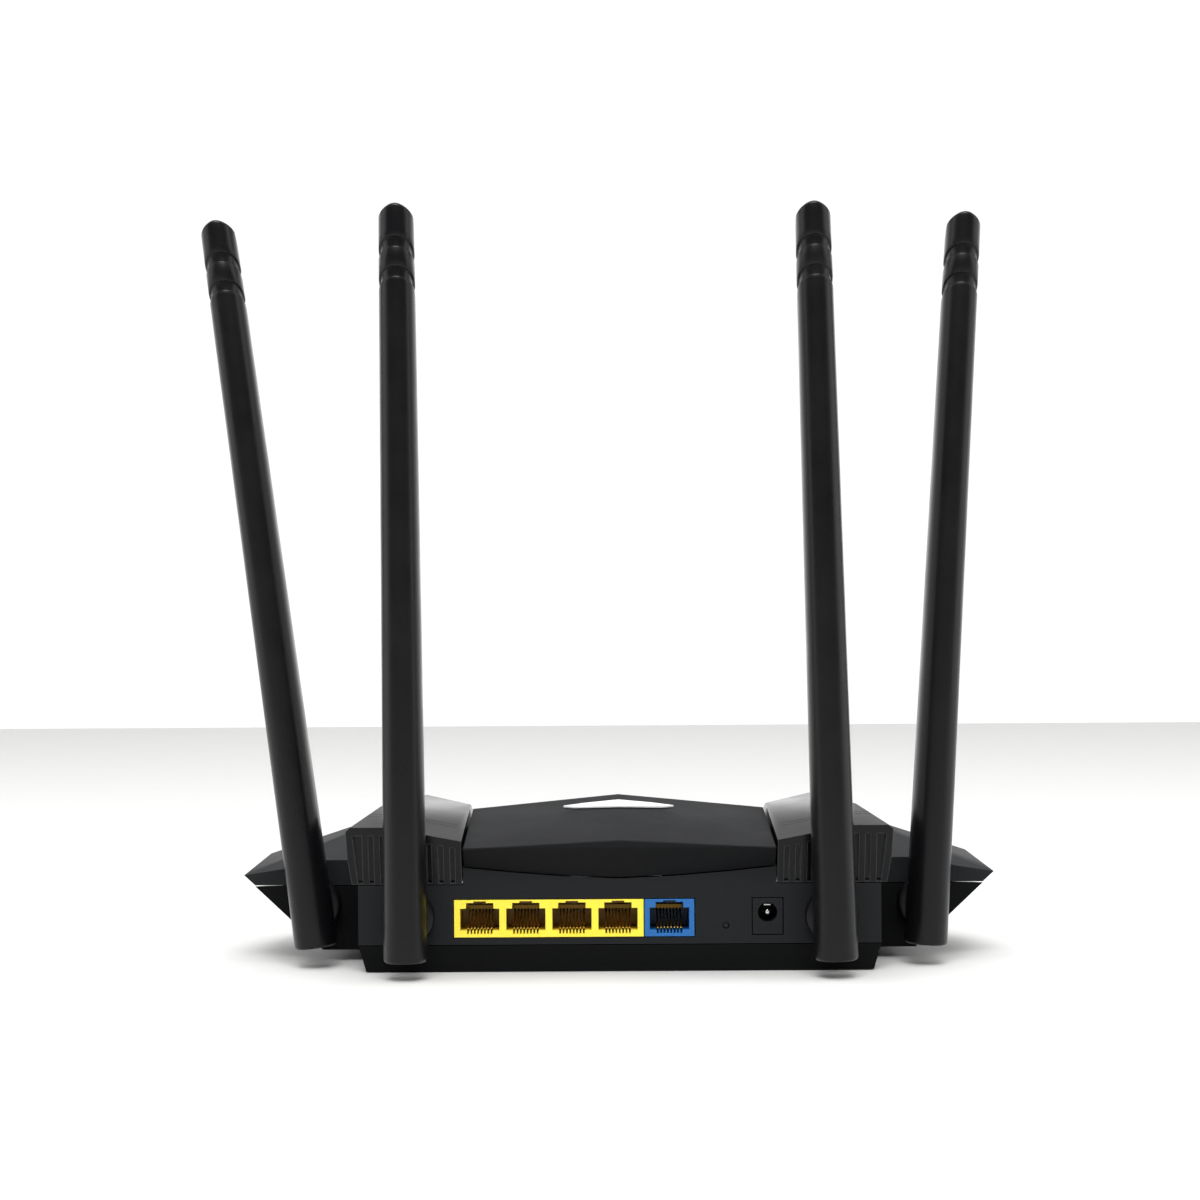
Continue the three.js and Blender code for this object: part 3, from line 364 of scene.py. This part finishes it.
# A CAD node's own shape with moulded edges: coplanar triangles joined and every sharp edge rounded.
def moulded(node, look):
    source = frame["nodes"][node].data
    shape = bmesh.new()
    corners = [shape.verts.new(v.co) for v in source.vertices]
    for face in source.polygons:
        try:
            shape.faces.new([corners[i] for i in face.vertices])
        except ValueError:
            continue
    bmesh.ops.remove_doubles(shape, verts=shape.verts, dist=edges["weld"])
    bmesh.ops.dissolve_limit(shape, angle_limit=math.radians(edges["flat"]),
                             verts=shape.verts, edges=shape.edges)
    piece = newPiece(node + "_finished", shape, look["material"])
    if look["edge"]:
        step = piece.modifiers.new("edges", "BEVEL")
        step.width = look["edge"]
        step.segments = look.get("segments", edges["segments"])
        step.limit_method = "ANGLE"
        step.angle_limit = math.radians(edges["sharp"])
        step.use_clamp_overlap = True
        settle(piece)
    shadeByAngle(piece, look.get("smooth", edges["smooth"]))
    if look["edge"]:  # wide faces stay flat up to their rounded edges
        step = piece.modifiers.new("normals", "WEIGHTED_NORMAL")
        step.keep_sharp = True
        settle(piece)
    return piece


# a finished piece takes the place of its CAD node and moves with the same body
def stands(piece, node):
    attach(piece, frame["nodes"][node]["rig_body"])
    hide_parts(node)


print("casing")
casing = {
    "bottom_cover": dict(material=shadedLowerAbs, edge=0.5 * mm, segments=3),
    "top_cover": dict(material=satinAbs, edge=0.4 * mm, segments=3),
    "deck_panel": dict(material=deckAbs, edge=0.5 * mm, segments=3),
    "left_shoulder_cover": dict(material=glossAbs, edge=0.25 * mm, segments=3),
    "right_shoulder_cover": dict(material=glossAbs, edge=0.25 * mm, segments=3),
    "badge_strip": dict(material=silverPaint, edge=0.15 * mm),
    "status_light_bar": dict(material=lensPolycarbonate, edge=0.3 * mm, segments=3),
    "light_guide": dict(material=lensPolycarbonate, edge=0.2 * mm),
}
for part, look in (("foot", dict(material=siliconeRubber, edge=0.2 * mm)),
                   ("case_screw", dict(material=nickelSteel, edge=0.1 * mm))):
    for corner in ("rear_left", "rear_right", "front_left", "front_right"):
        casing[f"{corner}_{part}"] = look
sockets = {
    "lan_jack_housing": dict(material=yellowPbt, edge=0.15 * mm),
    "wan_jack_housing": dict(material=bluePbt, edge=0.15 * mm),
    **{f"{jack}_contacts": dict(material=goldFlash, edge=0.05 * mm)
       for jack in ("lan_1", "lan_2", "lan_3", "lan_4", "wan")},
    "power_jack_body": dict(material=satinAbs, edge=0.15 * mm),
    "power_jack_pin": dict(material=nickelSteel, edge=0.1 * mm),
    "power_jack_spring": dict(material=nickelSteel, edge=0.05 * mm),
    "reset_switch_body": dict(material=packageEpoxy, edge=0.1 * mm),
    "reset_button": dict(material=packageEpoxy, edge=0.1 * mm),
}
electronics = {
    "main_board": dict(material=boardLaminate, edge=0.1 * mm),
    "processor_chip": dict(material=packageEpoxy, edge=0.15 * mm),
    "heat_sink": dict(material=dieAluminium, edge=0.1 * mm),
    "radio_shield": dict(material=nickelSteel, edge=0.3 * mm, segments=3),
    "lan_transformer": dict(material=packageEpoxy, edge=0.3 * mm, segments=3),
    "wan_transformer": dict(material=packageEpoxy, edge=0.3 * mm, segments=3),
    "bulk_capacitor": dict(material=dieAluminium, edge=0.4 * mm, segments=3),
}
for group in (casing, sockets, electronics):
    for node, look in group.items():
        stands(moulded(node, look), node)


print("antennas")
blade = dict(
    width=13.1 * mm, depth=13.6 * mm, length=225 * mm, foot=-4 * mm, topShare=0.8,
    footRoll=1.2 * mm, footDrawIn=0.1, shaftGap=1.2 * mm, shaftRings=24, levelRings=22,
    tipFrontFall=2.2 * mm, tipRearFall=9.9 * mm, tipSideFall=0.33, tipRidge=2.4 * mm,
    tipRoll=0.9 * mm, tipRings=6, neckRings=4,
    ringTops=(10 * mm, 18.9 * mm), ringHeight=2.9 * mm, ringDepth=0.65 * mm, ringTilt=0.58,
    slotFoot=-20 * mm, slotHalf=2.8 * mm, eyeRadius=4.0 * mm, slotRadius=14.06 * mm,
    pinRadius=1.8 * mm, pinHalf=5.55 * mm, boreHalf=3.2 * mm, boreFoot=8 * mm,
    boreShoulder=13 * mm, boreTop=189 * mm, boreTip=0.05 * mm, smooth=32)
# side of a groove: how far up in millimetres, and how much of the depth is reached there
grooveSide = [(-0.35, 0), (-0.1, 0.15), (0.1, 0.6), (0.35, 0.95), (0.7, 1)]
rollSteps = 5  # rings that a rounded foot or tip is made of
holeSides = 24
# right half of the cross-section, as shares of half the width and depth: round front, full back
bladeOutline = [(0, -1), (0.26, -0.97), (0.5, -0.87), (0.71, -0.71), (0.87, -0.48), (0.97, -0.2),
                (1, 0.1), (0.99, 0.62), (0.9, 0.88), (0.66, 1)]


# corners cut off once per round, at a quarter of each side, so that the ring gets smoother
def roundedRing(points, rounds):
    near, far = 0.75, 0.25
    for _ in range(rounds):
        points = [(a[0] * here + b[0] * there, a[1] * here + b[1] * there)
                  for a, b in zip(points, points[1:] + points[:1])
                  for here, there in ((near, far), (far, near))]
    return points


# how far the slanted tip lies below the blade's highest point, over a spot of the section
def tipFall(x, y):
    reach = blade["depth"] / 2 * blade["topShare"]
    if y < 0:
        fall = blade["tipFrontFall"] * (y / reach + 1)
    else:
        fall = blade["tipFrontFall"] + (blade["tipRearFall"] - blade["tipFrontFall"]) * y / reach
    return fall + blade["tipSideFall"] * (math.hypot(x, blade["tipRidge"]) - blade["tipRidge"])


# rings of the blade from foot to tip: each gives its share of the section, how far it is drawn in
# and the height of a spot on it
def bladeRings():
    foot, tip = blade["foot"], blade["foot"] + blade["length"]
    slope = math.tan(blade["ringTilt"])
    drop = blade["depth"] / 2 * blade["topShare"] * slope

    def share(z):
        return 1 - (1 - blade["topShare"]) * (z - foot) / blade["length"]

    def tilted(z, part):
        return lambda x, y: z - y * slope * part

    rings = []
    for k in range(rollSteps + 1):
        angle = math.pi / 2 * k / rollSteps
        rise = blade["footRoll"] * (1 - math.cos(angle))
        rings.append((1 - blade["footDrawIn"] * (1 - math.sin(angle)), 0, tilted(foot + rise, 0)))
    shaftFoot = foot + blade["footRoll"]
    shaftTop = tip - blade["ringTops"][1] - blade["ringHeight"] - drop - blade["shaftGap"]
    count, level = blade["shaftRings"], blade["levelRings"]
    for k in range(1, count + 1):
        z = shaftFoot + (shaftTop - shaftFoot) * k / count
        rings.append((share(z), 0, tilted(z, max(0.0, (k - level) / (count - level)))))
    for top in reversed(blade["ringTops"]):
        upper = tip - top - drop
        lower = upper - blade["ringHeight"]
        for lift, sink in grooveSide:
            rings.append((share(lower), sink * blade["ringDepth"], tilted(lower + lift * mm, 1)))
        for lift, sink in reversed(grooveSide):
            rings.append((share(upper), sink * blade["ringDepth"], tilted(upper - lift * mm, 1)))
    last = upper - grooveSide[0][0] * mm
    roll = blade["tipRoll"]

    def towardsTip(part):
        return lambda x, y: ((last - y * slope) * (1 - part)
                             + (tip - roll - tipFall(x, y)) * part)

    for k in range(1, blade["neckRings"] + 1):
        part = k / blade["neckRings"]
        rings.append((share(last) + (blade["topShare"] - share(last)) * part, 0, towardsTip(part)))
    for k in range(1, rollSteps + 1):
        angle = math.pi / 2 * k / rollSteps
        rings.append((blade["topShare"], roll * (1 - math.cos(angle)),
                      lambda x, y, a=angle: tip - roll * (1 - math.sin(a)) - tipFall(x, y)))
    for k in range(1, blade["tipRings"]):
        rest = 1 - k / blade["tipRings"]
        rings.append((blade["topShare"] * rest, roll * rest, lambda x, y: tip - tipFall(x, y)))
    return rings


def bladeForm():
    half = blade["width"] / 2, blade["depth"] / 2
    right = [(a * half[0], b * half[1]) for a, b in bladeOutline]
    section = roundedRing(right + [(-x, y) for x, y in reversed(right[1:])], 2)
    shape = bmesh.new()
    rings = []
    for share, sink, height in bladeRings():
        ring = []
        for x, y in section:
            inward = share - sink / math.hypot(x, y)
            ring.append(shape.verts.new((x * inward, y * inward, height(x * share, y * share))))
        rings.append(ring)
    for low, high in zip(rings, rings[1:]):
        for a, b, c, d in zip(low, low[1:] + low[:1], high[1:] + high[:1], high):
            shape.faces.new((a, b, c, d))
    shape.faces.new(list(reversed(rings[0])))
    shape.faces.new(rings[-1])
    return shape


# a prism along X from an outline in Y and Z
def prismAlongX(name, outline, half):
    shape = bmesh.new()
    ends = [[shape.verts.new((side * half, y, z)) for y, z in outline] for side in (-1, 1)]
    for i in range(len(outline)):
        j = (i + 1) % len(outline)
        shape.faces.new((ends[0][i], ends[1][i], ends[1][j], ends[0][j]))
    shape.faces.new(ends[0])
    shape.faces.new(list(reversed(ends[1])))
    bmesh.ops.recalc_face_normals(shape, faces=shape.faces)
    return newPiece(name, shape, antennaSkin)


# a turned form: (distance along the axis, radius) pairs spun round X or Y
def turned(name, profile, axis, centre=(0, 0, 0), sides=48):
    shape = bmesh.new()
    rings = []
    for reach, radius in profile:
        ring = []
        for i in range(sides):
            angle = 2 * math.pi * i / sides
            u, v = radius * math.cos(angle), radius * math.sin(angle)
            spot = (reach, u, v) if axis == "X" else (u, reach, v)
            ring.append(shape.verts.new(Vector(spot) + Vector(centre)))
        rings.append(ring)
    for low, high in zip(rings, rings[1:]):
        for i in range(sides):
            j = (i + 1) % sides
            shape.faces.new((low[i], low[j], high[j], high[i]))
    shape.faces.new(rings[0])
    shape.faces.new(rings[-1])
    bmesh.ops.recalc_face_normals(shape, faces=shape.faces)
    return newPiece(name, shape, antennaSkin)


# spots on a circle about the pin, in Y and Z, from one angle to another
def arc(radius, start, end, steps):
    angles = [math.radians(start + (end - start) * k / steps) for k in range(steps + 1)]
    return [(radius * math.cos(a), radius * math.sin(a)) for a in angles]


# the mesh of a form whose own object has done its work
def meshOnly(piece):
    mesh = piece.data
    bpy.data.objects.remove(piece)
    return mesh


# the blade upright with its pin at the origin: slot for the elbow, bore for the radiator, pin hole
def bladeMesh():
    body = newPiece("blade_form", bladeForm(), antennaSkin)
    eye, rear = blade["eyeRadius"], blade["slotRadius"]
    slot = ([(-eye, blade["slotFoot"])] + arc(eye, 180, 90, 8)
            + arc(rear, 90, 0, 16) + [(rear, blade["slotFoot"])])
    cutInto(body, prismAlongX("slot", slot, blade["slotHalf"]))
    wide, foot, top = blade["boreHalf"], blade["boreFoot"], blade["boreTop"]
    bore = [(blade["boreTip"], foot), (-wide, blade["boreShoulder"]), (-wide, top),
            (wide, top), (wide, foot)]
    cutInto(body, prismAlongX("bore", bore, wide))
    pin = [(-blade["pinHalf"], blade["pinRadius"]), (blade["pinHalf"], blade["pinRadius"])]
    cutInto(body, turned("pin", pin, "X", sides=holeSides))
    shadeByAngle(body, blade["smooth"])
    return meshOnly(body)


knuckle = dict(
    eyeRadius=3.7 * mm, tongueHalf=2.5 * mm, pinRadius=1.8 * mm, pivotRise=7.5 * mm,
    barrelRadius=5 * mm, barrelStart=8.4 * mm, wallFace=15.2 * mm, flangeRadius=8 * mm,
    flange=4.5 * mm, neckRadius=3.6 * mm, neckEnd=21.9 * mm, grooveStart=18 * mm,
    grooveEnd=19.7 * mm, grooveRadius=2.7 * mm, cableRadius=1.1 * mm, cableStart=11.4 * mm,
    edge=0.5 * mm, overlap=0.5 * mm, armRise=0.6 * mm, armShare=0.5, pinReach=10 * mm, smooth=32)


# the elbow: one turned run of barrel, flange and neck, with the arm and its eye joined to it
def knuckleMesh():
    k = knuckle
    flangeStart = k["wallFace"] - k["flange"]
    edge = k["edge"]
    profile = [
        (k["barrelStart"], k["barrelRadius"] - edge), (k["barrelStart"] + edge, k["barrelRadius"]),
        (flangeStart, k["barrelRadius"]), (flangeStart, k["flangeRadius"] - 2 * edge),
        (flangeStart + 0.6 * edge, k["flangeRadius"] - 0.6 * edge),
        (flangeStart + 2 * edge, k["flangeRadius"]),
        (k["wallFace"] - 0.4 * edge, k["flangeRadius"]),
        (k["wallFace"], k["flangeRadius"] - 0.4 * edge), (k["wallFace"], k["neckRadius"]),
        (k["grooveStart"], k["neckRadius"]), (k["grooveStart"], k["grooveRadius"]),
        (k["grooveEnd"], k["grooveRadius"]), (k["grooveEnd"], k["neckRadius"]),
        (k["neckEnd"] - edge, k["neckRadius"]), (k["neckEnd"], k["neckRadius"] - edge)]
    body = turned("barrel", profile, "Y", centre=(0, 0, k["pivotRise"]))
    reach = k["barrelStart"] + k["overlap"]
    arm = arc(k["eyeRadius"], 90, 270, 16)
    arm += [(reach, -k["eyeRadius"] + k["armRise"]),
            (reach, k["pivotRise"] + k["barrelRadius"] * k["armShare"])]
    cutInto(body, prismAlongX("arm", arm, k["tongueHalf"]), operation="UNION")
    pin = [(-k["pinReach"], k["pinRadius"]), (k["pinReach"], k["pinRadius"])]
    cable = [(k["cableStart"], k["cableRadius"]), (k["neckEnd"] + mm, k["cableRadius"])]
    cutInto(body, turned("pin", pin, "X", sides=holeSides),
            turned("cable", cable, "Y", centre=(0, 0, k["pivotRise"]), sides=holeSides))
    shadeByAngle(body, k["smooth"])
    return meshOnly(body)


uprightMeshes = {"blade": bladeMesh(), "knuckle": knuckleMesh()}
insideParts = {
    "hinge_pin": dict(material=nickelSteel, edge=0.1 * mm),
    "radiator": dict(material=rolledCopper, edge=0.05 * mm),
    "swivel_clip": dict(material=nickelSteel, edge=0.08 * mm),
    "coax_lead": dict(material=leadPvc, edge=0, smooth=60),
}
for antenna in ("outer_left", "inner_left", "inner_right", "outer_right"):
    fold = jointOf[antenna + "_fold"]
    axis = Vector(fold["axis"])
    lean = math.atan2(-axis.z, axis.x)  # the pin's axis leans with its antenna
    placed = Matrix.Translation(Vector(fold["pos_m"])) @ Matrix.Rotation(lean, 4, "Y")
    for part, mesh in uprightMeshes.items():
        node = f"{antenna}_{part}"
        own = mesh.copy()
        own.transform(placed)
        piece = bpy.data.objects.new(node + "_finished", own)
        scene.collection.objects.link(piece)
        stands(piece, node)
    for part, look in insideParts.items():
        node = f"{antenna}_{part}"
        stands(moulded(node, look), node)


print("stage")
stage = dict(colour="#c9c9c8", speckColour="#cdcdcc", half=1.5, speckSize=16.667 * mm,
             speckDetail=2.0, roughness=0.6, shine=0.2)


# a flat pale board, painted matt
def studioFloor():
    material, tree, output, place = newMaterial("matt_painted_board")
    speck = addNode(tree, "ShaderNodeTexNoise",
                    {"Scale": 1 / stage["speckSize"], "Detail": stage["speckDetail"]},
                    {"Vector": place})
    tone = addNode(tree, "ShaderNodeMix",
                   {"data_type": "RGBA", 6: linear(stage["colour"]),
                    7: linear(stage["speckColour"])},
                   {0: speck.outputs["Fac"]})
    shader = addNode(tree, "ShaderNodeBsdfPrincipled",
                     {"Roughness": stage["roughness"], "Specular IOR Level": stage["shine"]},
                     {"Base Color": tone.outputs[2]})
    tree.links.new(shader.outputs["BSDF"], output.inputs["Surface"])
    shape = bmesh.new()
    half = stage["half"]
    corners = (-half, -half, 0), (half, -half, 0), (half, half, 0), (-half, half, 0)
    shape.faces.new([shape.verts.new(corner) for corner in corners])
    return newPiece("studio_floor", shape, material)


studioFloor()

# the light of the room by direction: overhead it rises slowly, and low down it is bright behind
sky = dict(riseFrom=0.1, riseTo=0.9, riseLight=1.2, lowFrom=0.34, lowTo=0.12, lowDim=0.1,
           lowLight=1.7, behindTo=0.6, behindDim=0.1, backdrop=1.05)
world = bpy.data.worlds.new("studio")
scene.world = world
world.use_nodes = True
tree = world.node_tree
tree.nodes.clear()
worldOut = addNode(tree, "ShaderNodeOutputWorld")
direction = addNode(tree, "ShaderNodeTexCoord").outputs["Generated"]
parts = addNode(tree, "ShaderNodeSeparateXYZ", None, {"Vector": direction})
rise = addNode(tree, "ShaderNodeMapRange",
               {"From Min": sky["riseFrom"], "From Max": sky["riseTo"],
                "To Min": 0.0, "To Max": sky["riseLight"], "interpolation_type": "SMOOTHSTEP"},
               {"Value": parts.outputs["Z"]})
low = addNode(tree, "ShaderNodeMapRange",
              {"From Min": sky["lowFrom"], "From Max": sky["lowTo"],
               "To Min": sky["lowDim"], "To Max": sky["lowLight"],
               "interpolation_type": "SMOOTHSTEP"},
              {"Value": parts.outputs["Z"]})
behind = addNode(tree, "ShaderNodeMapRange",
                 {"From Min": 0.0, "From Max": sky["behindTo"], "To Min": sky["behindDim"]},
                 {"Value": parts.outputs["Y"]})
lowBehind = addNode(tree, "ShaderNodeMath", {"operation": "MULTIPLY"},
                    {0: low.outputs["Result"], 1: behind.outputs["Result"]})
level = addNode(tree, "ShaderNodeMath", {"operation": "ADD"},
                {0: rise.outputs["Result"], 1: lowBehind.outputs["Value"]})
soft = addNode(tree, "ShaderNodeBackground", {"Color": linear("#ffffff")},
               {"Strength": level.outputs["Value"]})
plain = addNode(tree, "ShaderNodeBackground",
                {"Color": linear("#ffffff"), "Strength": sky["backdrop"]})
seen = addNode(tree, "ShaderNodeLightPath").outputs["Is Camera Ray"]
both = addNode(tree, "ShaderNodeMixShader", None,
               {0: seen, 1: soft.outputs["Background"], 2: plain.outputs["Background"]})
tree.links.new(both.outputs["Shader"], worldOut.inputs["Surface"])
scene.view_settings.view_transform = "Standard"

lamps = {
    "left_softbox": dict(place=(-1.1, -0.15, 0.45), width=0.7, height=1.1, power=4),
    "right_softbox": dict(place=(1.1, -0.15, 0.45), width=0.7, height=1.1, power=4),
    "overhead_softbox": dict(place=(0.0, 0.1, 1.5), width=1.6, height=1.2, power=11),
    "front_softbox": dict(place=(0.0, -1.2, 1.5), width=1.0, height=0.8, power=30),
}
target = Vector((0, 0, 0.1))  # the lamps look at the middle of the antennas
for name, lamp in lamps.items():
    light = bpy.data.lights.new(name, "AREA")
    light.shape = "RECTANGLE"
    light.size, light.size_y = lamp["width"], lamp["height"]
    light.energy = lamp["power"]
    holder = bpy.data.objects.new(name, light)
    scene.collection.objects.link(holder)
    holder.location = lamp["place"]
    holder.rotation_euler = (target - holder.location).to_track_quat("-Z", "Y").to_euler()

# metres from the rear panel and over the table, and the roll in degrees
view = dict(distance=0.8, height=0.1127, side=-0.00545, lens=79.2, roll=0.33, near=0.01, far=100)
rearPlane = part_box("top_cover")[0].y
camera = bpy.data.objects.new("camera", bpy.data.cameras.new("camera"))
scene.collection.objects.link(camera)
camera.data.lens = view["lens"]
camera.location = (view["side"], rearPlane - view["distance"], view["height"])
camera.rotation_euler = (math.pi / 2, math.radians(view["roll"]), 0)
camera.data.clip_start = view["near"]
camera.data.clip_end = view["far"]
scene.camera = camera
